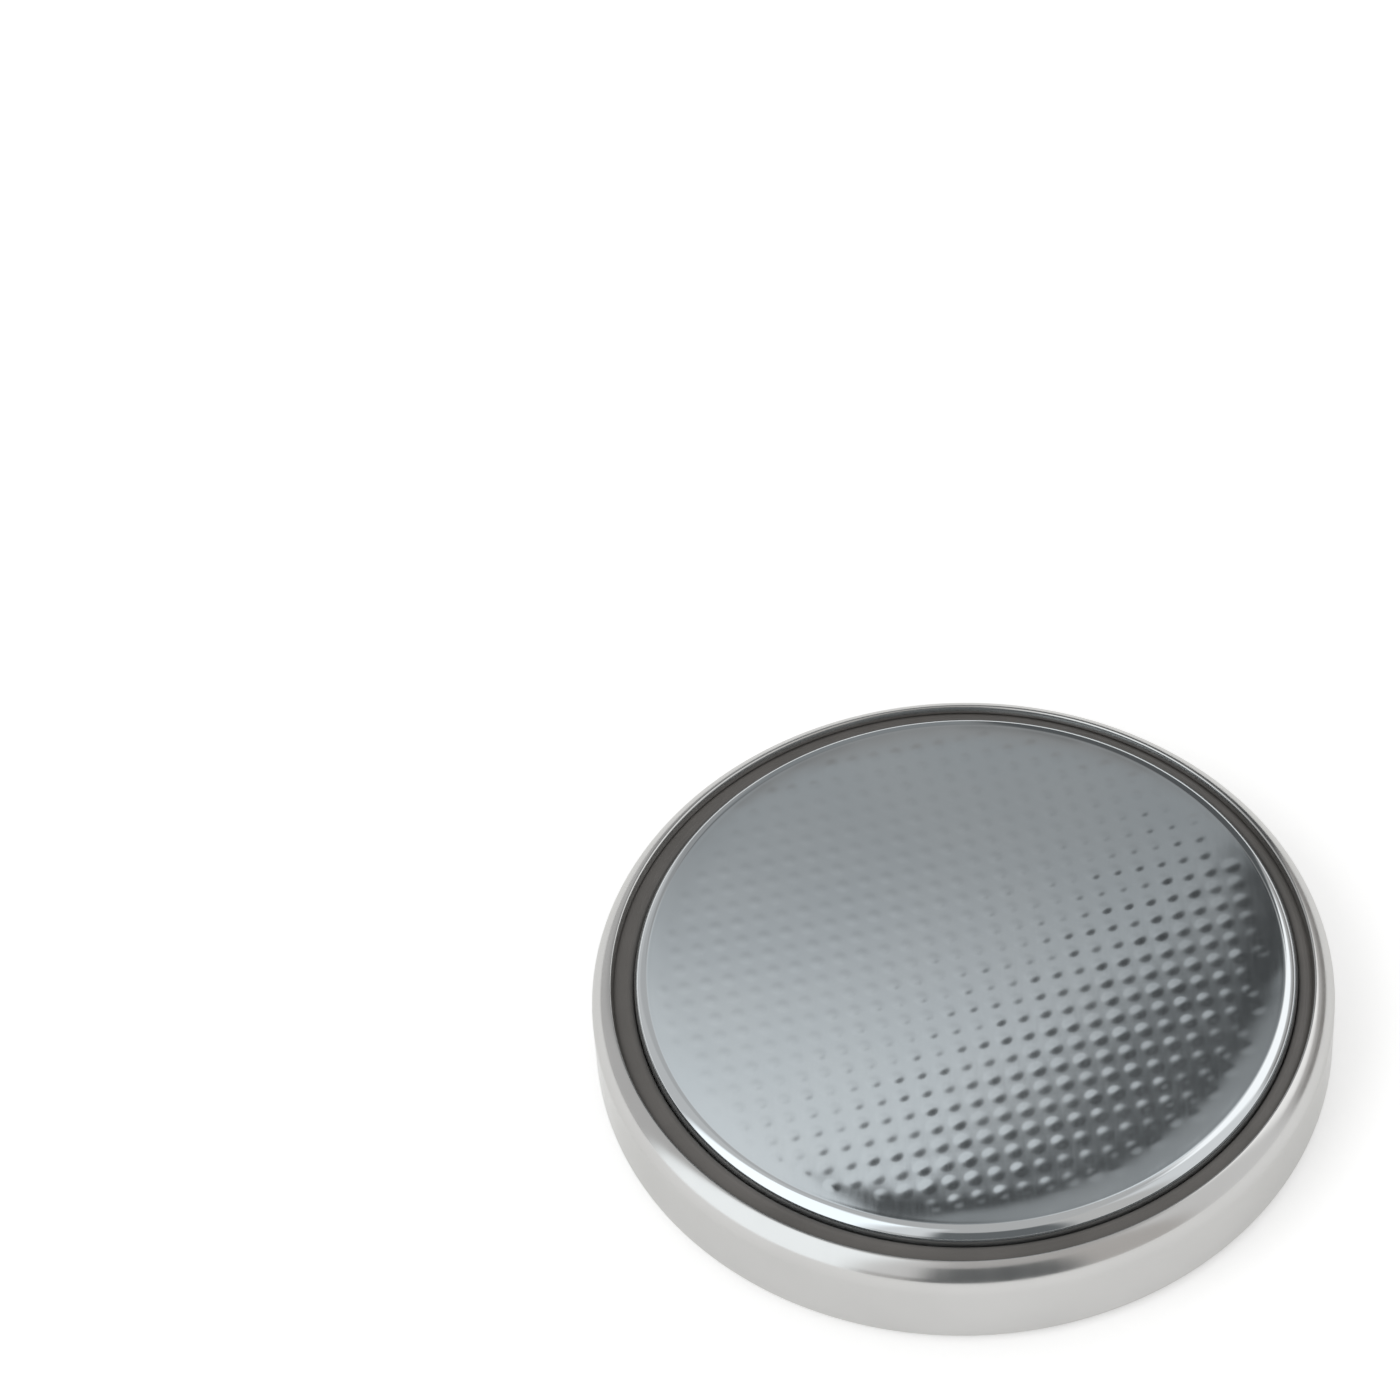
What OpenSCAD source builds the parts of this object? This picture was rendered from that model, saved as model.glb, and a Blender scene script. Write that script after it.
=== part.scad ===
// Lithium coin cell, round, 20 mm across and 3.2 mm high.
// It lies on its positive face, with the cell's axis on Z and the origin
// at the centre of the positive face. All sizes are in millimetres.

/* [Cell] */
// Outer diameter of the cell
cell_d = 20; // [16:0.5:24]
// Overall height of the cell, over the raised dots of the negative face
cell_h = 3.2; // [2.6:0.1:5]
// Thickness of the sealant film at each face of the gasket
film = 0.01; // [0.005:0.005:0.02]

/* [Positive can] */
// Sheet thickness of the can
can_sheet = 0.25; // [0.15:0.01:0.3]
// Outer radius of the can's bottom corner
can_corner_r = 0.5; // [0.35:0.05:0.7]
// Angle through which the can's rim is curled in over the gasket
crimp_angle = 68; // [50:1:80]
// Chamfer on the two edges of the curled rim
lip_chamfer = 0.03; // [0.01:0.01:0.06]

/* [Negative cap] */
// Sheet thickness of the cap
cap_sheet = 0.25; // [0.15:0.01:0.28]
// Height of the plain face above the shoulder that the crimp holds
drum_h = 0.68; // [0.6:0.02:0.9]
// Outer radius of the corner round the cap's face
cap_corner_r = 0.4; // [0.32:0.02:0.42]
// Hollow radius at the foot of the raised drum
drum_foot_r = 0.15; // [0.12:0.01:0.18]
// Width of the flat on the shoulder, outside the drum's foot
shoulder_flat = 0.06; // [0.04:0.01:0.3]
// Outer radius of the bend from the shoulder to the skirt
shoulder_r = 0.35; // [0.3:0.01:0.5]

/* [Embossed dots] */
// Spacing of the raised dots, both ways
dot_pitch = 0.61; // [0.55:0.01:1.2]
// Diameter of one dot at its foot
dot_d = 0.42; // [0.3:0.01:0.44]
// Diameter of a dot's flat top
dot_top_d = 0.2; // [0.1:0.01:0.26]
// Height of a dot above the plain face
dot_h = 0.015; // [0.005:0.005:0.04]
// Turn of the grid of dots about the cell's axis
dot_turn = 12; // [0:1:45]
// Shift of the nearest dot from the axis, along the rows
dot_shift_x = -0.07; // [-0.3:0.01:0.3]
// Shift of the nearest dot from the axis, across the rows
dot_shift_y = -0.21; // [-0.3:0.01:0.3]
// Width of the plain band between the dots and the rounded corner
plain_band = 0.1; // [0.05:0.05:1]

/* [Gasket] */
// Wall thickness of the gasket
gasket_wall = 0.25; // [0.2:0.01:0.3]
// Thickness of the gasket's foot under the cap's skirt
gasket_foot = 0.35; // [0.25:0.01:0.5]
// Width of the gasket's inner lip
gasket_lip_w = 0.22; // [0.15:0.01:0.35]
// Height of the inner lip above the foot
gasket_lip_h = 0.4; // [0.25:0.05:0.6]

/* [Electrode stack] */
// Thickness of the lithium disc
lithium_t = 0.6; // [0.4:0.05:0.7]
// Clearance between the lithium disc and the cap's inner wall
lithium_gap = 0.85; // [0.5:0.05:1.2]
// Thickness of the separator
separator_t = 0.15; // [0.1:0.01:0.2]
// Clearance between the separator and the cap's inner wall
separator_gap = 0.1; // [0.05:0.01:0.3]
// Outer radius of the bend to the separator's rim
separator_bend_r = 0.3; // [0.25:0.01:0.4]
// Depth of the separator's turned-down rim, over all
separator_rim_h = 0.8; // [0.6:0.05:1]
// Clearance between the cathode ring and the separator's rim
ring_gap = 0.5; // [0.3:0.05:0.8]
// Sheet thickness of the cathode ring
ring_sheet = 0.1; // [0.08:0.01:0.15]
// Height of the cathode ring
ring_h = 1.1; // [0.8:0.05:1.2]
// Width of the ring's foot under the cathode
ring_foot_w = 1.4; // [0.8:0.1:2.5]

/* [Hidden] */
$fn = 180;
// Sides of a dot's small circles
dot_sides = 24;

// Past this a cutting shape is surely outside the cell
far = cell_d;

// Radii of the crimped joint, from the outside in
can_r = cell_d / 2;
can_in_r = can_r - can_sheet;
gasket_out_r = can_in_r - film;
gasket_in_r = gasket_out_r - gasket_wall;
skirt_r = gasket_in_r - film;
skirt_in_r = skirt_r - cap_sheet;
gasket_lip_r = skirt_in_r - film;
gasket_lip_in_r = gasket_lip_r - gasket_lip_w;

// The curled rim, the gasket and the cap's shoulder bend round one circle
bend_r = skirt_r - shoulder_r;
curl_r = can_r - bend_r;

// Radii of the raised drum
drum_r = bend_r - shoulder_flat - drum_foot_r;
foot_r = drum_r + drum_foot_r;
drum_in_r = drum_r - cap_sheet;
face_r = drum_r - cap_corner_r;
dot_field_r = face_r - plain_band - dot_d / 2;

// Heights above the positive face
face_z = cell_h - dot_h;
shoulder_z = face_z - drum_h;
foot_top_z = shoulder_z + drum_foot_r;
bend_z = shoulder_z - shoulder_r;
foot_z = can_sheet + film;
skirt_z = foot_z + gasket_foot + film;
gasket_lip_z = foot_z + gasket_foot + gasket_lip_h;
lithium_top_z = face_z - cap_sheet;
lithium_z = lithium_top_z - lithium_t;
separator_z = lithium_z - separator_t;
ring_z = can_sheet;

// Radii of the electrode stack
lithium_r = drum_in_r - lithium_gap;
separator_r = drum_in_r - separator_gap;
ring_r = separator_r - separator_t - ring_gap;
cathode_r = ring_r - ring_sheet - film;
ring_foot_r = ring_r - ring_foot_w;

// How deep a dot's solid goes into the sheet
dot_root = dot_h / 2;
dot_root_r = dot_d / 2 + (dot_d - dot_top_d) / 2 * dot_root / dot_h;

// Rectangle of a section, between two radii and two heights
module bar(r0, r1, z0, z1) {
    translate([r0, z0]) square([r1 - r0, z1 - z0]);
}

// Quarter bend of a section about a centre; side_r and side_z say which quarter
module bend(r, z, out_r, in_r, side_r, side_z) {
    translate([r, z]) intersection() {
        difference() {
            circle(out_r);
            if (in_r > 0) circle(in_r);
        }
        translate([min(0, side_r * 2 * out_r), min(0, side_z * 2 * out_r)])
            square(2 * out_r);
    }
}

// Wedge of a section that lies past the end of the curled rim
module past_crimp() {
    translate([bend_r, bend_z]) rotate(crimp_angle)
        translate([-far, 0]) square([2 * far, far]);
}

// Chamfers at the inner and outer edge of the curled rim's end
module lip_chamfers() {
    for (edge_r = [curl_r - can_sheet, curl_r])
        translate([bend_r, bend_z]) rotate(crimp_angle)
            translate([edge_r, 0]) rotate(45)
                square(lip_chamfer * sqrt(2), center = true);
}

// Can: floor, corner, wall and the rim curled in over the gasket
module positive_can() {
    corner_r = can_r - can_corner_r;
    color([0.74, 0.73, 0.71]) rotate_extrude() {
        bar(0, corner_r, 0, can_sheet);
        bend(corner_r, can_corner_r, can_corner_r, can_corner_r - can_sheet, 1, -1);
        bar(can_in_r, can_r, can_corner_r, bend_z);
        difference() {
            bend(bend_r, bend_z, curl_r, curl_r - can_sheet, 1, 1);
            past_crimp();
            lip_chamfers();
        }
    }
}

// Section of the cap: face, corner, drum, shoulder and skirt
module cap_section() {
    bar(0, face_r, face_z - cap_sheet, face_z);
    bend(face_r, face_z - cap_corner_r, cap_corner_r, cap_corner_r - cap_sheet, 1, 1);
    bar(drum_in_r, drum_r, foot_top_z, face_z - cap_corner_r);
    bend(foot_r, foot_top_z, drum_foot_r + cap_sheet, drum_foot_r, -1, -1);
    bar(foot_r, bend_r, shoulder_z - cap_sheet, shoulder_z);
    bend(bend_r, bend_z, shoulder_r, shoulder_r - cap_sheet, 1, 1);
    bar(skirt_in_r, skirt_r, skirt_z, bend_z);
}

// One raised dot: a low pip with a sloping flank, rooted in the sheet
module dot() {
    translate([0, 0, face_z - dot_root])
        cylinder(h = dot_root + dot_h, r1 = dot_root_r, r2 = dot_top_d / 2, $fn = dot_sides);
}

// Grid of raised dots over the negative face, out to the plain band
module dots() {
    steps = ceil(dot_field_r / dot_pitch) + 1;
    rotate(dot_turn)
        for (i = [-steps : steps], j = [-steps : steps]) {
            x = i * dot_pitch + dot_shift_x;
            y = j * dot_pitch + dot_shift_y;
            if (norm([x, y]) < dot_field_r) translate([x, y, 0]) dot();
        }
}

// Cap: drawn shell with its embossed contact face
module negative_cap() {
    color([0.62, 0.65, 0.67]) {
        rotate_extrude() cap_section();
        dots();
    }
}

// Gasket: foot and wall in the can, inner lip, and top curled under the rim,
// squeezed out to a bead that fills the hollow at the drum's foot
module gasket() {
    corner_r = can_r - can_corner_r;
    lip_mid_r = (gasket_lip_in_r + gasket_lip_r) / 2;
    color([0.36, 0.34, 0.32]) rotate_extrude() {
        difference() {
            union() {
                bar(gasket_lip_in_r, corner_r, foot_z, foot_z + gasket_foot);
                bend(corner_r, can_corner_r, gasket_out_r - corner_r, 0, 1, -1);
                bar(gasket_in_r, gasket_out_r, can_corner_r, bend_z);
            }
            bar(gasket_lip_r, gasket_in_r, skirt_z - film, far);
        }
        bend(bend_r, bend_z, shoulder_r + film + gasket_wall, shoulder_r + film, 1, 1);
        bar(foot_r, bend_r, shoulder_z + film, shoulder_z + film + gasket_wall);
        translate([foot_r, foot_top_z]) circle(drum_foot_r - film);
        bar(gasket_lip_in_r, gasket_lip_r, foot_z, gasket_lip_z - gasket_lip_w / 2);
        translate([lip_mid_r, gasket_lip_z - gasket_lip_w / 2]) circle(gasket_lip_w / 2);
    }
}

// Cathode ring: L-section ring that holds the pressed cathode together
module cathode_ring() {
    wall_in_r = ring_r - ring_sheet;
    color([0.70, 0.70, 0.70]) rotate_extrude() {
        bar(ring_foot_r, wall_in_r, ring_z, ring_z + ring_sheet);
        bend(wall_in_r, ring_z + ring_sheet, ring_sheet, 0, 1, -1);
        bar(wall_in_r, ring_r, ring_z + ring_sheet, ring_z + ring_h);
    }
}

// Cathode: pressed pellet, rebated round its bottom edge for the ring's foot
module cathode() {
    color([0.16, 0.15, 0.15]) rotate_extrude() difference() {
        bar(0, cathode_r, ring_z, separator_z);
        bar(ring_foot_r - film, far, ring_z - far, ring_z + ring_sheet + film);
    }
}

// Separator: sheet between the electrodes, its rim turned down round the cathode
module separator() {
    bend_top_r = separator_r - separator_bend_r;
    bend_top_z = lithium_z - separator_bend_r;
    color([0.93, 0.92, 0.88]) rotate_extrude() {
        bar(0, bend_top_r, separator_z, lithium_z);
        bend(bend_top_r, bend_top_z, separator_bend_r, separator_bend_r - separator_t, 1, 1);
        bar(separator_r - separator_t, separator_r, lithium_z - separator_rim_h, bend_top_z);
    }
}

// Lithium anode: disc punched from foil and pressed onto the cap
module lithium_anode() {
    color([0.78, 0.79, 0.80]) rotate_extrude()
        bar(0, lithium_r, lithium_z, lithium_top_z);
}

positive_can();
negative_cap();
gasket();
cathode_ring();
cathode();
separator();
lithium_anode();
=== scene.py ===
import math
import random

import bmesh
import bpy
from mathutils import Matrix, Vector
from mathutils.geometry import delaunay_2d_cdt


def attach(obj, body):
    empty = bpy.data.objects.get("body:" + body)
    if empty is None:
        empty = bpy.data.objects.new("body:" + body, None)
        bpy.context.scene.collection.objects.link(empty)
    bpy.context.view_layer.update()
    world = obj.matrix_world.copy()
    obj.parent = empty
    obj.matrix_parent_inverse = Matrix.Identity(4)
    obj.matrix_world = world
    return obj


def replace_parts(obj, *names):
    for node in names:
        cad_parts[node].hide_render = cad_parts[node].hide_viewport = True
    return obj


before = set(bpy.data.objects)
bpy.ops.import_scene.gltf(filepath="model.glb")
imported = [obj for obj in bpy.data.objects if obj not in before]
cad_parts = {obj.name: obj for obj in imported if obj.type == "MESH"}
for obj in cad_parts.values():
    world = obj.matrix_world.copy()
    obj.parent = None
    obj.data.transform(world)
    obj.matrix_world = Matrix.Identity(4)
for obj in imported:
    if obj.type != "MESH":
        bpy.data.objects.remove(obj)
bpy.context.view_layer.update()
scene = bpy.context.scene
scene.view_settings.view_transform = "Standard"

# Sizes in millimetres and the crimp's angle, as the part has them; the roundings of the lip and of
# the skirt are the scene's own
MM = 0.001
CELL_R = 10.0
SHEET = 0.25
CAN_CORNER = 0.5
CAN_IN_R = CELL_R - SHEET
CAN_FLOOR_R = CELL_R - CAN_CORNER
BEND_R, BEND_Z = 9.13, 2.155
CURL = CELL_R - BEND_R
CRIMP = 68.0
LIP_ROUND = 0.05
DRUM_R = 8.92
CAP_CORNER = 0.4
FACE_R = DRUM_R - CAP_CORNER
FOOT_R = 0.15
SHOULDER_Z = 2.505
SHOULDER_R = 0.35
CAP_UNDER_Z = 2.935
SKIRT_Z = 0.62
SKIRT_ROUND = 0.04
GASKET_WALL = 0.25
GASKET_LIP_IN_R, GASKET_LIP_OUT_R = 9.0, 9.22
GASKET_LIP_Z = 1.01
FILM = 0.01

# The embossed field of the cap, with softer and lower dots than the part has: they fade and the
# face ripples more towards its edge, where a plain band falls off to the rounded corner
PITCH = 0.61
DOT_R = 0.28
DOT_H = 0.003
DOT_H_SPREAD = (-0.3, 0.2)
DOT_TURN = math.radians(12)
DOT_SHIFT = (-0.07, -0.21)
DOT_FIELD = 8.1
DOT_SIDES = 16
DOT_RINGS = 7
DOT_FADE = (7.2, 8.1)
DOT_FADE_SHARE = 0.3
FLAT_Z = 3.195
RIPPLE, EDGE_RIPPLE = 0.0002, 0.0011
RIPPLE_R = 6.6
RIPPLE_END = 0.15
BAND_START = 7.4
BAND_DROP = 0.024

# The face is a patch of its own out to PATCH_R, where the turned part begins. The dots' cells stay
# PATCH_EDGE inside it, and rings of loose points fill the band, a share of a pitch off the cells
PATCH_R = 8.50
PATCH_EDGE = 0.03
BAND_MESH_START = 7.72
BAND_MESH_STEP = 0.1
BAND_MESH_RINGS = 8
BAND_MESH_GAP = 0.06

# The look of the dots' tops: where it weakens and ends, in pitches from a dot's middle and in
# millimetres past the field, the share of the weakest top, how dark a top is painted (painted
# shade that shows the dots' relief) and how dull a top gets
TOP_END = (0.16, 0.40)
TOPS_END = (0.5, 0.7)
TOP_WEAKEST = 0.6
TOP_PAINTED_SHADE, TOP_DULL = 0.07, 0.008

# How far the crimp holds the drum's wall off the can's axis, and where that begins and ends:
# radii inside the wall, radii outside it, and heights under it
OFF_CENTRE = (0.09, 0.06)
SETTLE_INSIDE = (7.7, 8.45)
SETTLE_OUTSIDE = (9.12, 9.36)
SETTLE_UNDER = (2.3, 2.5)

# Polarity mark on the hidden face: half length and half width of its arms, depth, lean of its
# sides, and distance from the axis. The face is a patch of its own up to FACE_RIM from its corner,
# with a grid of loose points that keep off its border and off the mark's corners
MARK_HALF, MARK_WIDE, MARK_DEPTH, MARK_LEAN, MARK_AWAY = 2.15, 0.165, 0.03, 0.03, 5.7
FACE_RIM = 0.1
FACE_MESH_STEP = 1.1
FACE_MESH_GAP = 0.5
MARK_MESH_GAP = 0.6

# The gasket's wall and the bead that is squeezed out at its end, in degrees round their bends,
# and the last step of its closed section
GASKET_WALL_END = 88
BEAD_START, BEAD_END = 68, 270
SEAM = 0.001

# Fineness of the meshes: steps round the axis, distances under which points are the same (in
# millimetres, in metres and for the triangulation), and steps of a millimetre in a point's key
SEGMENTS = 256
SAME_POINT, WELD, CDT_NEAR = 1e-4, 1e-7, 1e-6
POINT_KEYS = 1e4


def circle(radius, count, offset=0.0):
    """Points (x, y) evenly round the origin; the first lies offset steps past +X."""
    angles = [2 * math.pi * (s + offset) / count for s in range(count)]
    return [(radius * math.cos(a), radius * math.sin(a)) for a in angles]


def neighbours(points):
    """Each point with the next one, the last with the first."""
    return zip(points, points[1:] + points[:1])


def arc(centre_r, centre_z, radius, start, end, steps):
    """Points of a section's arc, angles in degrees from +r towards +z."""
    found = []
    for i in range(steps + 1):
        a = math.radians(start + (end - start) * i / steps)
        found.append((centre_r + radius * math.cos(a), centre_z + radius * math.sin(a)))
    return found


def tidy(points, support=0.03):
    """The section without repeated points, with a support point near each end of a long straight
    stretch."""
    clean = [points[0]]
    for p in points[1:]:
        if math.dist(p, clean[-1]) > SAME_POINT:
            clean.append(p)
    out = [clean[0]]
    for a, b in zip(clean, clean[1:]):
        length = math.dist(a, b)
        if length > 4 * support:
            for t in (support / length, 1 - support / length):
                out.append((a[0] + (b[0] - a[0]) * t, a[1] + (b[1] - a[1]) * t))
        out.append(b)
    return out


def lathe(bm, section, closed=False):
    """Turns a section (r, z) about Z into bm."""
    rings = []
    for r, z in section:
        if r < SAME_POINT:
            rings.append([bm.verts.new((0, 0, z * MM))])
            continue
        rings.append([bm.verts.new((x * MM, y * MM, z * MM)) for x, y in circle(r, SEGMENTS)])
    pairs = list(zip(rings, rings[1:]))
    if closed:
        pairs.append((rings[-1], rings[0]))
    for a, b in pairs:
        for s in range(SEGMENTS):
            t = (s + 1) % SEGMENTS
            corners = [a[s % len(a)], a[t % len(a)], b[t % len(b)], b[s % len(b)]]
            corners = list(dict.fromkeys(corners))
            if len(corners) > 2:
                bm.faces.new(corners)


def ease(value, start, end):
    """Smooth step from 0 at start to 1 at end."""
    t = min(1, max(0, (value - start) / (end - start)))
    return t * t * (3 - 2 * t)


def settle(bm):
    """Shifts the drum's wall and what lies against it off the axis. The skirt, the can's lip and
    the dots further in keep their places."""
    for v in bm.verts:
        r = v.co.xy.length / MM
        share = ease(r, *SETTLE_INSIDE) * (1 - ease(r, *SETTLE_OUTSIDE))
        share *= ease(v.co.z / MM, *SETTLE_UNDER)
        v.co.x += OFF_CENTRE[0] * share * MM
        v.co.y += OFF_CENTRE[1] * share * MM


def add_object(name, bm, materials):
    """An object in the scene from bm, which it frees."""
    mesh = bpy.data.meshes.new(name)
    bm.to_mesh(mesh)
    bm.free()
    for m in materials:
        mesh.materials.append(m)
    obj = bpy.data.objects.new(name, mesh)
    scene.collection.objects.link(obj)
    return obj


def make_piece(name, bm, materials):
    """A smooth shaded object of the root body from bm, in place."""
    bmesh.ops.remove_doubles(bm, verts=bm.verts, dist=WELD)
    bmesh.ops.recalc_face_normals(bm, faces=bm.faces)
    obj = add_object(name, bm, materials)
    for p in obj.data.polygons:
        p.use_smooth = True
    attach(obj, "root")
    return obj


class Shader:
    """A small builder for a material's nodes."""

    def __init__(self, name):
        self.material = bpy.data.materials.new(name)
        self.material.use_nodes = True
        self.tree = self.material.node_tree
        self.bsdf = self.tree.nodes["Principled BSDF"]
        self.coords = self.add("ShaderNodeTexCoord").outputs["Object"]

    def add(self, kind, inputs=None, **settings):
        node = self.tree.nodes.new(kind)
        for key, value in settings.items():
            setattr(node, key, value)
        for key, value in (inputs or {}).items():
            self.feed(node.inputs[key], value)
        return node

    def feed(self, socket, value):
        if isinstance(value, bpy.types.NodeSocket):
            self.tree.links.new(value, socket)
        else:
            socket.default_value = value

    def math(self, operation, a, b=0.0, c=0.0):
        return self.add("ShaderNodeMath", {0: a, 1: b, 2: c}, operation=operation).outputs[0]

    def noise(self, scale, stretch=(1, 1, 1), turn=0.0, detail=3.0, roughness=0.5, vector=None):
        """Noise from 0 to 1 with features about 1 / scale metres wide, stretched along the axes."""
        place = self.add(
            "ShaderNodeMapping",
            {
                "Vector": vector or self.coords,
                "Rotation": (0, 0, math.radians(turn)),
                "Scale": tuple(scale * s for s in stretch),
            },
        )
        return self.add(
            "ShaderNodeTexNoise",
            {"Vector": place.outputs[0], "Scale": 1.0, "Detail": detail, "Roughness": roughness},
        ).outputs["Fac"]

    def vector_math(self, operation, a, b=(0, 0, 0), output="Vector"):
        return self.add("ShaderNodeVectorMath", {0: a, 1: b}, operation=operation).outputs[output]

    def split(self, vector):
        """The x, y and z of a vector."""
        return self.add("ShaderNodeSeparateXYZ", {0: vector}).outputs

    def polar(self):
        """Coordinates that run round the axis, along the radius and up, in metres at the rim."""
        x, y, z = self.split(self.coords)
        angle = self.math("ARCTAN2", y, x)
        squares = self.math("ADD", self.math("MULTIPLY", x, x), self.math("MULTIPLY", y, y))
        radius = self.math("SQRT", squares)
        round_way = self.math("MULTIPLY", angle, CELL_R * MM)
        return self.add("ShaderNodeCombineXYZ", {0: round_way, 1: radius, 2: z}).outputs[0]

    def span(self, value, low, high, from_low=0.3, from_high=0.7, smooth=False):
        """Maps a value, as a rule a noise, to a range."""
        node = self.add(
            "ShaderNodeMapRange",
            {
                "Value": value,
                "From Min": from_low,
                "From Max": from_high,
                "To Min": low,
                "To Max": high,
            },
            interpolation_type="SMOOTHSTEP" if smooth else "LINEAR",
        )
        return node.outputs["Result"]

    def blend(self, factor, a, b):
        """Mixes two colours."""
        node = self.add("ShaderNodeMix", data_type="RGBA")
        self.feed(node.inputs["Factor"], factor)
        for socket, colour in ((node.inputs[6], a), (node.inputs[7], b)):
            self.feed(socket, (*colour, 1) if isinstance(colour, tuple) else colour)
        return node.outputs[2]

    def bump(self, height, distance, normal=None):
        """A bump of the given height in metres."""
        inputs = {"Height": height, "Distance": distance, "Strength": 1.0}
        if normal is not None:
            inputs["Normal"] = normal
        return self.add("ShaderNodeBump", inputs).outputs["Normal"]

    def finish(self, **inputs):
        for key, value in inputs.items():
            self.feed(self.bsdf.inputs[key.replace("_", " ")], value)
        return self.material

    def finish_surface(self, shader):
        """Gives the material this shader in place of the usual one."""
        self.tree.nodes.remove(self.bsdf)
        self.tree.links.new(shader, self.tree.nodes["Material Output"].inputs["Surface"])
        return self.material


def dot_tops(s):
    """1 on the embossed dots' tops and 0 between them, a little weaker on some dots: where the tops
    get their painted shade and their dullness.
    """
    half = tuple(0.5 - shift / PITCH for shift in DOT_SHIFT)
    cell = s.add(
        "ShaderNodeMapping",
        {
            "Vector": s.coords,
            "Location": (*half, 0),
            "Rotation": (0, 0, -DOT_TURN),
            "Scale": (1 / (PITCH * MM), 1 / (PITCH * MM), 0),
        },
    ).outputs[0]
    number = s.vector_math("FLOOR", cell)
    middle = s.vector_math("ADD", number, (0.5, 0.5, 0))
    away = s.vector_math("DISTANCE", cell, middle, "Value")
    spot = s.span(away, 1, 0, *TOP_END, smooth=True)
    chance = s.add("ShaderNodeTexWhiteNoise", {"Vector": number}).outputs["Value"]
    spot = s.math("MULTIPLY", spot, s.span(chance, TOP_WEAKEST, 1.0, 0, 1))
    radius = s.vector_math("LENGTH", s.coords, output="Value")
    start, end = ((DOT_FIELD + past) * MM for past in TOPS_END)
    return s.math("MULTIPLY", s.span(radius, 1, 0, start, end), spot)


def cap_metal():
    """Bright rolled steel of the cap: satin mirror with fine grain, the dots' tops a trace duller
    and a trace darker, the darkening a painted shade that shows the dots' relief."""
    s = Shader("cap_steel")
    tops = dot_tops(s)
    cloud = s.noise(260, detail=4)
    grain = s.noise(9000, (1, 0.12, 1), turn=12, detail=3, roughness=0.6)
    colour = s.blend(s.span(cloud, 0, 1), (0.60, 0.63, 0.65), (0.64, 0.665, 0.68))
    # Painted shade: the dots' tops are darkened a trace so that their relief shows
    colour = s.blend(s.math("MULTIPLY", tops, TOP_PAINTED_SHADE), colour, (0.36, 0.375, 0.385))
    rough = s.math("ADD", s.span(cloud, 0.055, 0.09), s.span(grain, -0.008, 0.012))
    rough = s.math("MULTIPLY_ADD", tops, TOP_DULL, rough)
    return s.finish(Base_Color=colour, Metallic=1.0, Roughness=rough, Normal=s.bump(grain, 6e-8))


def can_metal():
    """Nickel plated drawn steel of the can: soft draw lines up the wall and round the rim."""
    s = Shader("can_steel")
    round_way = s.polar()
    cloud = s.noise(320, detail=4)
    draw = s.noise(2600, (1, 0.1, 0.1), detail=3, roughness=0.6, vector=round_way)
    ring = s.noise(7000, (0.015, 1, 1), detail=2, roughness=0.6, vector=round_way)
    colour = s.blend(s.span(cloud, 0, 1), (0.525, 0.522, 0.515), (0.56, 0.557, 0.55))
    rough = s.math("ADD", s.span(cloud, 0.14, 0.20), s.span(draw, -0.02, 0.03))
    normal = s.bump(draw, 3e-7)
    normal = s.bump(ring, 2e-7, normal)
    return s.finish(
        Base_Color=colour,
        Metallic=1.0,
        Roughness=rough,
        Specular_Tint=(0.85, 0.85, 0.84, 1),
        Normal=normal,
    )


def face_metal():
    """The can's flat positive face: fine straight brushing."""
    s = Shader("positive_face_steel")
    cloud = s.noise(240, detail=4)
    brush = s.noise(11000, (0.02, 1, 1), turn=2, detail=3, roughness=0.65)
    colour = s.blend(s.span(cloud, 0, 1), (0.62, 0.625, 0.625), (0.67, 0.67, 0.665))
    rough = s.math("ADD", s.span(cloud, 0.24, 0.30), s.span(brush, -0.03, 0.04))
    normal = s.bump(brush, 4e-7)
    return s.finish(Base_Color=colour, Metallic=1.0, Roughness=rough, Normal=normal)


def etched_metal():
    """Pale matt floor of the etched polarity mark."""
    s = Shader("etched_mark")
    grain = s.noise(14000, detail=3)
    colour = s.blend(s.span(grain, 0, 1), (0.76, 0.765, 0.77), (0.84, 0.845, 0.85))
    rough = s.span(grain, 0.45, 0.6)
    return s.finish(Base_Color=colour, Metallic=1.0, Roughness=rough, Normal=s.bump(grain, 2e-6))


def plastic():
    """Grey brown polypropylene of the gasket, slightly waxy."""
    s = Shader("gasket_plastic")
    cloud = s.noise(500, detail=3)
    grain = s.noise(9000, detail=3)
    colour = s.blend(s.span(cloud, 0, 1), (0.092, 0.087, 0.081), (0.118, 0.111, 0.104))
    rough = s.span(grain, 0.38, 0.5)
    return s.finish(Base_Color=colour, Roughness=rough, Normal=s.bump(grain, 1.5e-6))


def rolled_metal(name, colour_a, colour_b, rough_low, rough_high):
    """Plain rolled metal for a piece inside the cell."""
    s = Shader(name)
    cloud = s.noise(400, detail=4)
    grain = s.noise(8000, (1, 0.1, 1), detail=3)
    colour = s.blend(s.span(cloud, 0, 1), colour_a, colour_b)
    rough = s.span(cloud, rough_low, rough_high)
    return s.finish(Base_Color=colour, Metallic=1.0, Roughness=rough, Normal=s.bump(grain, 6e-7))


def powder():
    """Pressed manganese dioxide with graphite: near black, fine grained, with pale specks."""
    s = Shader("pressed_powder")
    cloud = s.noise(500, detail=4)
    grain = s.noise(12000, detail=4, roughness=0.7)
    colour = s.blend(s.span(cloud, 0, 1), (0.022, 0.021, 0.021), (0.045, 0.043, 0.042))
    colour = s.blend(s.span(grain, 0, 0.5, 0.66, 0.74), colour, (0.16, 0.16, 0.165))
    rough = s.span(grain, 0.65, 0.9)
    return s.finish(Base_Color=colour, Roughness=rough, Normal=s.bump(grain, 1.2e-5))


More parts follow.
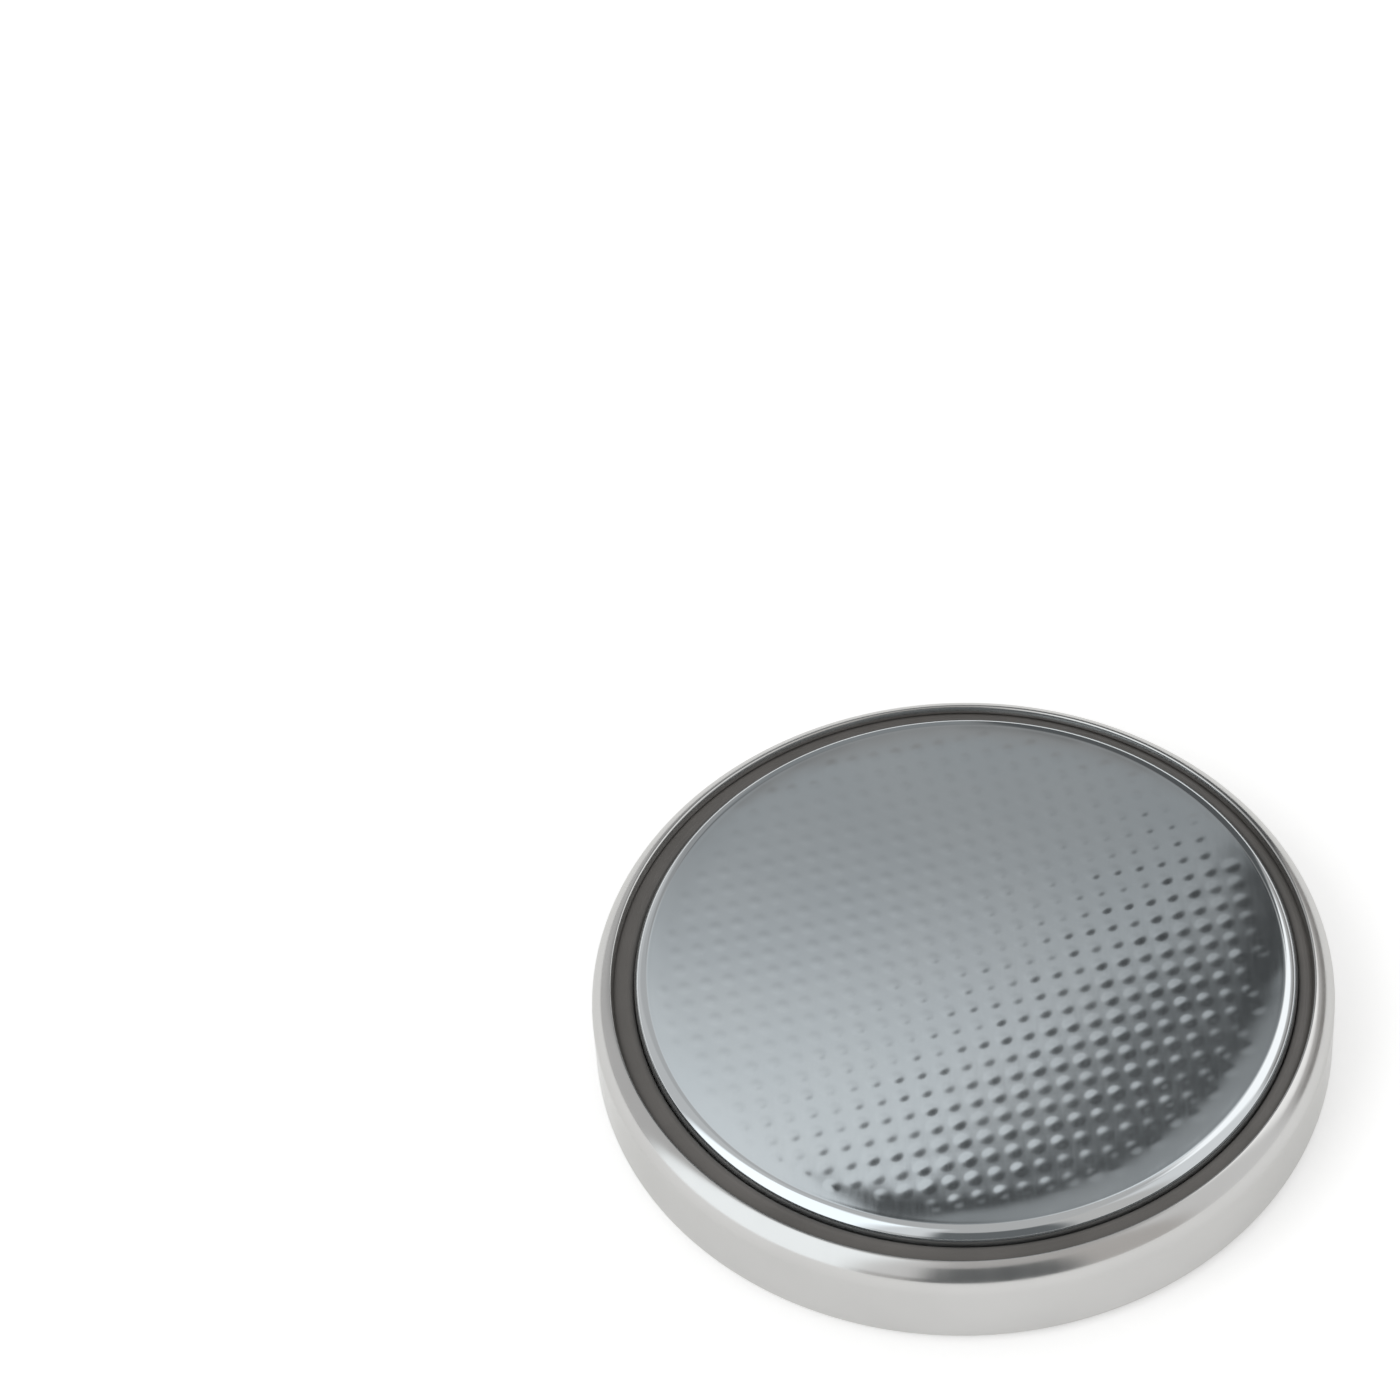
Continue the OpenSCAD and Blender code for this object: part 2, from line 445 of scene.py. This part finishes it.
def fleece():
    """Non-woven separator sheet: off white with crossing fibres."""
    s = Shader("separator_sheet")
    one = s.noise(7000, (1, 0.06, 1), turn=25, detail=2)
    two = s.noise(7000, (1, 0.06, 1), turn=-48, detail=2)
    fibres = s.math("MAXIMUM", one, two)
    colour = s.blend(s.span(fibres, 0, 1, 0.4, 0.75), (0.72, 0.70, 0.64), (0.88, 0.87, 0.82))
    normal = s.bump(fibres, 1.2e-5)
    return s.finish(Base_Color=colour, Roughness=0.85, Sheen_Weight=0.2, Normal=normal)


def dot_fade(r):
    """How much of its height a dot keeps at a distance from the axis."""
    return 1 - DOT_FADE_SHARE * ease(r, *DOT_FADE)


def flat_z(r):
    """Height of the plain face at a distance from the axis: flat, then falling off."""
    t = max(0, r - BAND_START) / (FACE_R - BAND_START)
    return FLAT_Z - BAND_DROP * t * t


def embossed_face(bm):
    """The cap's face out to PATCH_R: a cell of rings for each dot, then a plain band."""
    chance = random.Random(4)
    turn = Matrix.Rotation(DOT_TURN, 2)
    back_turn = turn.transposed()
    place, lift = {}, {}

    def ripple(u, v):
        """Slight unevenness that the embossing leaves, a cell wide."""
        a, b = (u - DOT_SHIFT[0]) / PITCH + 0.5, (v - DOT_SHIFT[1]) / PITCH + 0.5
        i, j = math.floor(a), math.floor(b)
        s, t = ease(a - i, 0, 1), ease(b - j, 0, 1)
        low = lift[i, j] * (1 - s) + lift[i + 1, j] * s
        high = lift[i, j + 1] * (1 - s) + lift[i + 1, j + 1] * s
        return low * (1 - t) + high * t

    def height_at(u, v):
        r = math.hypot(u, v)
        return flat_z(r) + ripple(u, v) * min(1.0, max(0.0, (PATCH_R - r) / RIPPLE_END))

    def point(u, v, rise=0.0):
        key = (round(u * POINT_KEYS), round(v * POINT_KEYS))
        if key not in place:
            x, y = turn @ Vector((u, v))
            place[key] = bm.verts.new((x * MM, y * MM, (height_at(u, v) + rise) * MM))
        return place[key]

    radii = [DOT_R * k / DOT_RINGS for k in range(1, DOT_RINGS + 1)]
    cells, sides = set(), {}
    reach = int(DOT_FIELD / PITCH) + 2
    for i in range(-reach - 2, reach + 4):
        for j in range(-reach - 2, reach + 4):
            r = math.hypot((i - 0.5) * PITCH, (j - 0.5) * PITCH)
            lift[i, j] = chance.uniform(-1, 1) * (RIPPLE if r < RIPPLE_R else EDGE_RIPPLE)
    for i in range(-reach, reach + 1):
        for j in range(-reach, reach + 1):
            u, v = i * PITCH + DOT_SHIFT[0], j * PITCH + DOT_SHIFT[1]
            corner = math.hypot(abs(u) + PITCH / 2, abs(v) + PITCH / 2)
            if math.hypot(u, v) < DOT_FIELD and corner < PATCH_R - PATCH_EDGE:
                cells.add((i, j))
    for i, j in sorted(cells):
        u, v = i * PITCH + DOT_SHIFT[0], j * PITCH + DOT_SHIFT[1]
        height = DOT_H * (1 + chance.uniform(*DOT_H_SPREAD)) * dot_fade(math.hypot(u, v))
        top = point(u, v, height)
        inner = None
        for r in radii:
            rise = height * 0.5 * (1 + math.cos(math.pi * r / DOT_R))
            ring = [point(u + x, v + y, rise) for x, y in circle(r, DOT_SIDES)]
            if inner is None:
                for a, b in neighbours(ring):
                    bm.faces.new([top, a, b])
            else:
                for (c, d), (a, b) in zip(neighbours(inner), neighbours(ring)):
                    bm.faces.new([c, a, b, d])
            inner = ring
        edge = []
        for x, y in circle(1.0, DOT_SIDES):
            reach_out = PITCH / 2 / max(abs(x), abs(y))
            edge.append(point(u + reach_out * x, v + reach_out * y))
        for (c, d), (a, b) in zip(neighbours(inner), neighbours(edge)):
            bm.faces.new([c, a, b, d])
            side = frozenset((a, b))
            sides[side] = sides.get(side, 0) + 1

    # The band between the outermost cells and the circle where the turned part begins
    loose, numbers, links = [], {}, []
    for side, count in sides.items():
        if count == 1:
            for v in side:
                if v not in numbers:
                    numbers[v] = len(loose)
                    loose.append(v)
            links.append([numbers[v] for v in side])
    flat = [Vector((v.co.x, v.co.y)) / MM for v in loose]

    def in_cell(x, y, margin=0.0):
        u, v = back_turn @ Vector((x, y))
        i, j = (u - DOT_SHIFT[0]) / PITCH, (v - DOT_SHIFT[1]) / PITCH
        ways = [(a, b) for a in (-margin, margin) for b in (-margin, margin)]
        return any((math.floor(i + 0.5 + a), math.floor(j + 0.5 + b)) in cells for a, b in ways)

    first = len(flat)
    flat += [Vector(p) for p in circle(PATCH_R, SEGMENTS)]
    links += [[first + s, first + (s + 1) % SEGMENTS] for s in range(SEGMENTS)]
    for k in range(BAND_MESH_RINGS):
        r = BAND_MESH_START + BAND_MESH_STEP * k
        around = int(2 * math.pi * r / BAND_MESH_STEP)
        for x, y in circle(r, around, 0.5 * (k % 2)):
            if not in_cell(x, y, BAND_MESH_GAP):
                flat.append(Vector((x, y)))
    at, _, faces, origin, *_ = delaunay_2d_cdt(flat, links, [], 0, CDT_NEAR)
    known = []
    for n, p in enumerate(at):
        from_side = [o for o in origin[n] if o < len(loose)]
        if from_side:
            known.append(loose[from_side[0]])
        else:
            known.append(bm.verts.new((p.x * MM, p.y * MM, height_at(*(back_turn @ p)) * MM)))
    for f in faces:
        middle = sum((at[n] for n in f), Vector((0, 0))) / len(f)
        if middle.length < PATCH_R and not in_cell(*middle):
            bm.faces.new([known[n] for n in f])


def cap_shell(materials):
    bm = bmesh.new()
    embossed_face(bm)
    slope = math.degrees(math.atan(2 * BAND_DROP / (FACE_R - BAND_START)))
    start = 90 - slope
    corner_z = flat_z(FACE_R) - CAP_CORNER * math.sin(math.radians(start))
    foot_r, foot_z = DRUM_R + FOOT_R, SHOULDER_Z + FOOT_R
    edge = SKIRT_ROUND
    section = [(PATCH_R, flat_z(PATCH_R))]
    section += arc(FACE_R, corner_z, CAP_CORNER, start, 0, 18)
    section += arc(foot_r, foot_z, FOOT_R, 180, 270, 8)
    section += arc(BEND_R, BEND_Z, SHOULDER_R, 90, 0, 12)
    skirt_r = BEND_R + SHOULDER_R
    section += arc(skirt_r - edge, SKIRT_Z + edge, edge, 0, -90, 4)
    section += arc(skirt_r - SHEET + edge, SKIRT_Z + edge, edge, 270, 180, 4)
    section += arc(BEND_R, BEND_Z, SHOULDER_R - SHEET, 0, 90, 6)
    section += arc(foot_r, foot_z, FOOT_R + SHEET, 270, 180, 8)
    section += arc(FACE_R, CAP_UNDER_Z - CAP_CORNER + SHEET, CAP_CORNER - SHEET, 0, 90, 6)
    section += [(0, CAP_UNDER_Z)]
    lathe(bm, tidy(section))
    settle(bm)
    return make_piece("cap_shell", bm, materials)


def positive_face(bm, radius):
    """The can's underside with a plain cross, shallow, as polarity mark."""

    def cross(h, w):
        out = []
        for k in range(4):
            c, s = round(math.cos(k * math.pi / 2)), round(math.sin(k * math.pi / 2))
            for x, y in ((w, w), (w, h), (-w, h)):
                out.append(Vector((x * c - y * s, MARK_AWAY + x * s + y * c)))
        return out

    half, wide = MARK_HALF - MARK_LEAN, MARK_WIDE - MARK_LEAN
    outer, inner = cross(MARK_HALF, MARK_WIDE), cross(half, wide)
    border = [Vector(p) for p in circle(radius, SEGMENTS)]
    points, links = [], []
    for loop in (border, outer, inner):
        first = len(points)
        points += loop
        links += [[first + k, first + (k + 1) % len(loop)] for k in range(len(loop))]
    reach = int(radius / FACE_MESH_STEP)
    for k in range(-reach, reach + 1):
        for m in range(-reach, reach + 1):
            p = Vector((k * FACE_MESH_STEP, m * FACE_MESH_STEP))
            off_mark = min((p - q).length for q in outer) > MARK_MESH_GAP
            if p.length < radius - FACE_MESH_GAP and off_mark:
                points.append(p)
    at, _, faces, *_ = delaunay_2d_cdt(points, links, [], 1, CDT_NEAR)

    def inside(p, h, w):
        x, y = abs(p.x), abs(p.y - MARK_AWAY)
        return min(x, y) < w + SAME_POINT and max(x, y) < h + SAME_POINT

    verts = []
    for p in at:
        depth = MARK_DEPTH if inside(p, half, wide) else 0
        verts.append(bm.verts.new((p.x * MM, p.y * MM, depth * MM)))
    for f in faces:
        face = bm.faces.new([verts[n] for n in f])
        middle = sum((at[n] for n in f), Vector((0, 0))) / len(f)
        face.material_index = 2 if inside(middle, MARK_HALF, MARK_WIDE) else 1


def can_shell(materials):
    bm = bmesh.new()
    face_edge = CAN_FLOOR_R - FACE_RIM
    positive_face(bm, face_edge)
    section = [(face_edge, 0), (face_edge + FACE_RIM / 2, 0)]
    section += arc(CAN_FLOOR_R, CAN_CORNER, CAN_CORNER, -90, 0, 16)
    f = LIP_ROUND
    turn_out = CRIMP - math.degrees(math.asin(f / (CURL - f)))
    turn_in = CRIMP - math.degrees(math.asin(f / (CURL - SHEET + f)))
    section += arc(BEND_R, BEND_Z, CURL, 0, turn_out, 22)
    c = arc(BEND_R, BEND_Z, CURL - f, turn_out, turn_out, 1)[0]
    section += arc(*c, f, turn_out, CRIMP + 90, 6)
    c = arc(BEND_R, BEND_Z, CURL - SHEET + f, turn_in, turn_in, 1)[0]
    section += arc(*c, f, CRIMP + 90, turn_in + 180, 6)
    section += arc(BEND_R, BEND_Z, CURL - SHEET, turn_in, 0, 14)
    section += arc(CAN_FLOOR_R, CAN_CORNER, CAN_CORNER - SHEET, 0, -90, 6)
    section += [(0, SHEET)]
    lathe(bm, tidy(section))
    return make_piece("can_shell", bm, materials)


def gasket_ring(materials):
    bm = bmesh.new()
    out_r, in_r = CAN_IN_R - FILM, CAN_IN_R - FILM - GASKET_WALL
    lip_out, lip_in = GASKET_LIP_OUT_R, GASKET_LIP_IN_R
    foot_z, slot_z = SHEET + FILM, SKIRT_Z - FILM
    mid = CURL - SHEET - FILM - GASKET_WALL / 2
    half = GASKET_WALL / 2
    lip_half = (lip_out - lip_in) / 2
    section = [(lip_in, foot_z)]
    section += arc(CAN_FLOOR_R, CAN_CORNER, out_r - CAN_FLOOR_R, -90, 0, 8)
    bead_r, bead_z, bead = DRUM_R + FOOT_R, SHOULDER_Z + FOOT_R, FOOT_R - FILM
    section += arc(BEND_R, BEND_Z, mid + half, 0, GASKET_WALL_END, 16)
    section += arc(bead_r, bead_z, bead, BEAD_START, BEAD_END, 16)
    section += arc(BEND_R, BEND_Z, mid - half, 90, 0, 12)
    section += [(in_r, slot_z), (lip_out, slot_z)]
    section += arc(lip_in + lip_half, GASKET_LIP_Z - lip_half, lip_half, 0, 180, 8)
    section += [(lip_in, foot_z + SEAM)]
    lathe(bm, tidy(section), closed=True)
    settle(bm)
    return make_piece("gasket_ring", bm, materials)


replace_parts(cap_shell([cap_metal()]), "negative_cap")
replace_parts(can_shell([can_metal(), face_metal(), etched_metal()]), "positive_can")
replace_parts(gasket_ring([plastic()]), "gasket")

inner_finish = {
    "cathode_ring": rolled_metal("ring_steel", (0.60, 0.60, 0.60), (0.68, 0.68, 0.67), 0.25, 0.34),
    "lithium_anode": rolled_metal(
        "lithium_metal", (0.66, 0.67, 0.69), (0.76, 0.77, 0.78), 0.42, 0.58
    ),
    "cathode": powder(),
    "separator": fleece(),
}
for node_name, finish in inner_finish.items():
    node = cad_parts[node_name]
    node.data.materials.clear()
    node.data.materials.append(finish)


# Camera at the photograph's viewing angle; the photo's side and the focal length are in pixels
PHOTO_SIDE, FOCAL = 1400, 5216.0
ELEVATION, ROLL, DISTANCE = math.radians(52.43), math.radians(-1.36), 0.1428
SENSOR = 36
back = Vector((0, -math.cos(ELEVATION), math.sin(ELEVATION)))
right = Vector((1, 0, 0))
up = back.cross(right)
across = math.cos(ROLL) * right + math.sin(ROLL) * up
above = -math.sin(ROLL) * right + math.cos(ROLL) * up
level = Matrix((across, above, back)).transposed()
# The photograph shows the cell off its middle: this pixel has the centre of the cell's base
BASE_PIXEL = (963.1, 1038.2)
beside, below = (v - PHOTO_SIDE / 2 for v in BASE_PIXEL)
aim = Vector((beside / FOCAL, -below / FOCAL, -1)).normalized()
swing = aim.rotation_difference(Vector((0, 0, -1))).to_matrix()
camera = bpy.data.objects.new("camera", bpy.data.cameras.new("camera"))
camera.data.sensor_width = SENSOR
camera.data.lens = FOCAL / PHOTO_SIDE * SENSOR
camera.data.clip_start, camera.data.clip_end = 0.001, 10
camera.matrix_world = Matrix.Translation(back * DISTANCE) @ (level @ swing).to_4x4()
scene.collection.objects.link(camera)
scene.camera = camera


# Studio: white room, pale floor and soft lamp, and a tent and a shade sheet that only metal sees.
# The room has one level for lighting and one for looks, the floor a size and height in metres and
# some light of its own for looks
ROOM_LEVEL, ROOM_SEEN = 0.78, 1.0
FLOOR_R, FLOOR_Z, FLOOR_LIFT = 1.5, -0.00002, 0.32


def lookup_background(tree, shader_a, shader_b):
    """Mixes shader_a, for lighting, and shader_b, for what the camera, metal and glass see."""
    path = tree.nodes.new("ShaderNodeLightPath")
    seen = path.outputs["Is Camera Ray"]
    for extra in ("Is Glossy Ray", "Is Transmission Ray"):
        add = tree.nodes.new("ShaderNodeMath")
        add.operation = "MAXIMUM"
        tree.links.new(seen, add.inputs[0])
        tree.links.new(path.outputs[extra], add.inputs[1])
        seen = add.outputs[0]
    mix = tree.nodes.new("ShaderNodeMixShader")
    tree.links.new(seen, mix.inputs[0])
    tree.links.new(shader_a, mix.inputs[1])
    tree.links.new(shader_b, mix.inputs[2])
    return mix.outputs[0]


world = bpy.data.worlds.new("studio")
scene.world = world
world.use_nodes = True
tree = world.node_tree
room = tree.nodes["Background"]
room.inputs["Color"].default_value = (1, 1, 1, 1)
room.inputs["Strength"].default_value = ROOM_LEVEL
white = tree.nodes.new("ShaderNodeBackground")
white.inputs["Color"].default_value = (1, 1, 1, 1)
white.inputs["Strength"].default_value = ROOM_SEEN
tree.links.new(
    lookup_background(tree, room.outputs[0], white.outputs[0]),
    tree.nodes["World Output"].inputs["Surface"],
)

floor_look = bpy.data.materials.new("floor_paper")
floor_look.use_nodes = True
tree = floor_look.node_tree
paper = tree.nodes["Principled BSDF"]
paper.inputs["Base Color"].default_value = (0.86, 0.86, 0.855, 1)
paper.inputs["Roughness"].default_value = 0.9
paper.inputs["Specular IOR Level"].default_value = 0.1
lift = tree.nodes.new("ShaderNodeEmission")
lift.inputs["Strength"].default_value = FLOOR_LIFT
lifted = tree.nodes.new("ShaderNodeAddShader")
tree.links.new(paper.outputs[0], lifted.inputs[0])
tree.links.new(lift.outputs[0], lifted.inputs[1])
tree.links.new(
    lookup_background(tree, paper.outputs[0], lifted.outputs[0]),
    tree.nodes["Material Output"].inputs["Surface"],
)
bm = bmesh.new()
bmesh.ops.create_circle(bm, cap_ends=True, radius=FLOOR_R, segments=64)
floor = add_object("floor", bm, [floor_look])
floor.location.z = FLOOR_Z


def direction(azimuth, elevation):
    """Unit vector; azimuth from +Y towards +X, elevation above the floor, in degrees."""
    a, e = math.radians(azimuth), math.radians(elevation)
    return Vector((math.sin(a) * math.cos(e), math.cos(a) * math.cos(e), math.sin(e)))


def hide_from_all_but_metal(obj):
    """Leaves obj to glossy rays alone."""
    for ray in ("camera", "diffuse", "shadow", "transmission"):
        setattr(obj, "visible_" + ray, False)


def studio_tent(base, zones, radius=0.46):
    """A tent round the cell that only metal sees: a base colour with soft zones painted over it.
    A zone is (shape, softness, tint, strength), and it may carry zones in place of a strength.
    Its shape is a disc (azimuth, elevation, radius) or a patch (azimuth, half width, lowest,
    highest), all in degrees."""
    bm = bmesh.new()
    bmesh.ops.create_uvsphere(bm, u_segments=96, v_segments=48, radius=radius)
    s = Shader("studio_tent")
    way = s.vector_math("NORMALIZE", s.coords)
    x, y, z = s.split(way)
    azimuth = s.math("DEGREES", s.math("ARCTAN2", x, y))
    elevation = s.math("DEGREES", s.math("ARCSINE", z))

    def within(value, middle, half, soft):
        away = s.math("ABSOLUTE", s.math("WRAP", s.math("SUBTRACT", value, middle), 180.0, -180.0))
        return s.span(away, 1, 0, half - soft / 2, half + soft / 2, smooth=True)

    def mask(shape, soft):
        if len(shape) == 3:
            toward = tuple(direction(*shape[:2]))
            near = s.vector_math("DOT_PRODUCT", way, toward, "Value")
            return within(s.math("DEGREES", s.math("ARCCOSINE", near)), 0.0, shape[2], soft)
        middle, half, low, high = shape
        beside = within(azimuth, middle, half, soft)
        between = within(elevation, (low + high) / 2, (high - low) / 2, soft)
        return s.math("MULTIPLY", beside, between)

    def paint(colour, zones):
        for shape, soft, tint, content in zones:
            if isinstance(content, list):
                over = paint(colour, content)
            else:
                over = tuple(c * content for c in tint)
            colour = s.blend(mask(shape, soft), colour, over)
        return colour

    glow = s.add("ShaderNodeEmission", {"Color": paint(base, zones), "Strength": 1.0})
    s.material.cycles.emission_sampling = "NONE"
    tent = add_object("studio_tent", bm, [s.finish_surface(glow.outputs[0])])
    hide_from_all_but_metal(tent)


WHITE, COOL, WARM = (1, 1, 1), (0.94, 0.98, 1.0), (1.0, 0.97, 0.94)
# The light side of the face ends a right angle away from this direction, with dark bands past it
EDGE = (-48, -25.5)
LIGHT_SIDE = [((0, 180, -90, 90), 1, COOL, 0.90), ((15, 15, -90, 90), 12, COOL, 0.83)]
SEEN_BY_FACE = [
    *LIGHT_SIDE,
    (
        (25, 31, 40, 72),
        2,
        None,
        [
            ((*EDGE, 130), 1, COOL, 1.2),
            ((*EDGE, 97.5), 2, COOL, 0.36),
            ((*EDGE, 93.4), 1.0, COOL, 0.09),
            ((*EDGE, 90.8), 2.0, COOL, 0.25),
            ((*EDGE, 90), 0.5, None, LIGHT_SIDE),
        ],
    ),
]
studio_tent(
    (0.62, 0.61, 0.60),
    [
        ((-70, 45, -10, 75), 14, WHITE, 0.70),
        ((-40, 16, 20, 70), 10, WHITE, 0.58),
        ((-22, 8, -5, 44), 8, WHITE, 0.42),
        ((-8, 9, -5, 44), 4, COOL, 0.32),
        ((58, 32, 26, 66), 8, WHITE, 1.45),
        ((17, 16, -5, 44), 4, COOL, 0.13),
        ((62, 26, -10, 14), 6, WARM, 0.36),
        ((106, 22, -10, 62), 14, WHITE, 0.93),
        ((137, 14, -10, 60), 12, WARM, 0.68),
        ((173, 20, -10, 52), 8, COOL, 0.19),
        ((-158, 10, 12, 75), 8, WHITE, 0.95),
        ((-122, 29, -10, 73), 10, COOL, 1.60),
        ((0, 20, 46, 64), 3, None, SEEN_BY_FACE),
    ],
)


def shade_sheet(height, rows, columns, dim):
    """A clear sheet over the cell that only metal sees, dimmed towards the back. In millimetres,
    rows says where along +Y the dimming starts, is full, is still full and ends, and columns where
    it is still full and ends on both sides of the middle."""
    bm = bmesh.new()
    corners = ((-1, rows[0]), (1, rows[0]), (1, rows[3]), (-1, rows[3]))
    bm.faces.new([bm.verts.new((x * columns[1] * MM, y * MM, height * MM)) for x, y in corners])
    s = Shader("shade_sheet")
    x, y, _ = s.split(s.coords)
    side = s.span(s.math("ABSOLUTE", x), 1, 0, columns[0] * MM, columns[1] * MM, smooth=True)
    front = s.span(y, 0, 1, rows[0] * MM, rows[1] * MM, smooth=True)
    rear = s.span(y, 1, 0, rows[2] * MM, rows[3] * MM, smooth=True)
    cover = s.math("MULTIPLY", side, s.math("MULTIPLY", front, rear))
    colour = s.blend(cover, (1, 1, 1), (dim, dim, dim))
    clear = s.add("ShaderNodeBsdfTransparent", {"Color": colour})
    sheet = add_object("shade_sheet", bm, [s.finish_surface(clear.outputs[0])])
    hide_from_all_but_metal(sheet)


shade_sheet(height=30, rows=(11.9, 28.7, 32, 40), columns=(11, 18), dim=0.50)


def lamp(name, azimuth, elevation, distance, size, watts):
    """A square area lamp that faces the cell."""
    data = bpy.data.lights.new(name, "AREA")
    data.energy, data.size = watts, size
    obj = bpy.data.objects.new(name, data)
    way = direction(azimuth, elevation)
    obj.location = way * distance
    obj.rotation_mode = "QUATERNION"
    obj.rotation_quaternion = way.to_track_quat("Z", "Y")
    obj.visible_glossy = False
    scene.collection.objects.link(obj)


lamp("key", azimuth=-130, elevation=45, distance=0.40, size=0.25, watts=0.40)
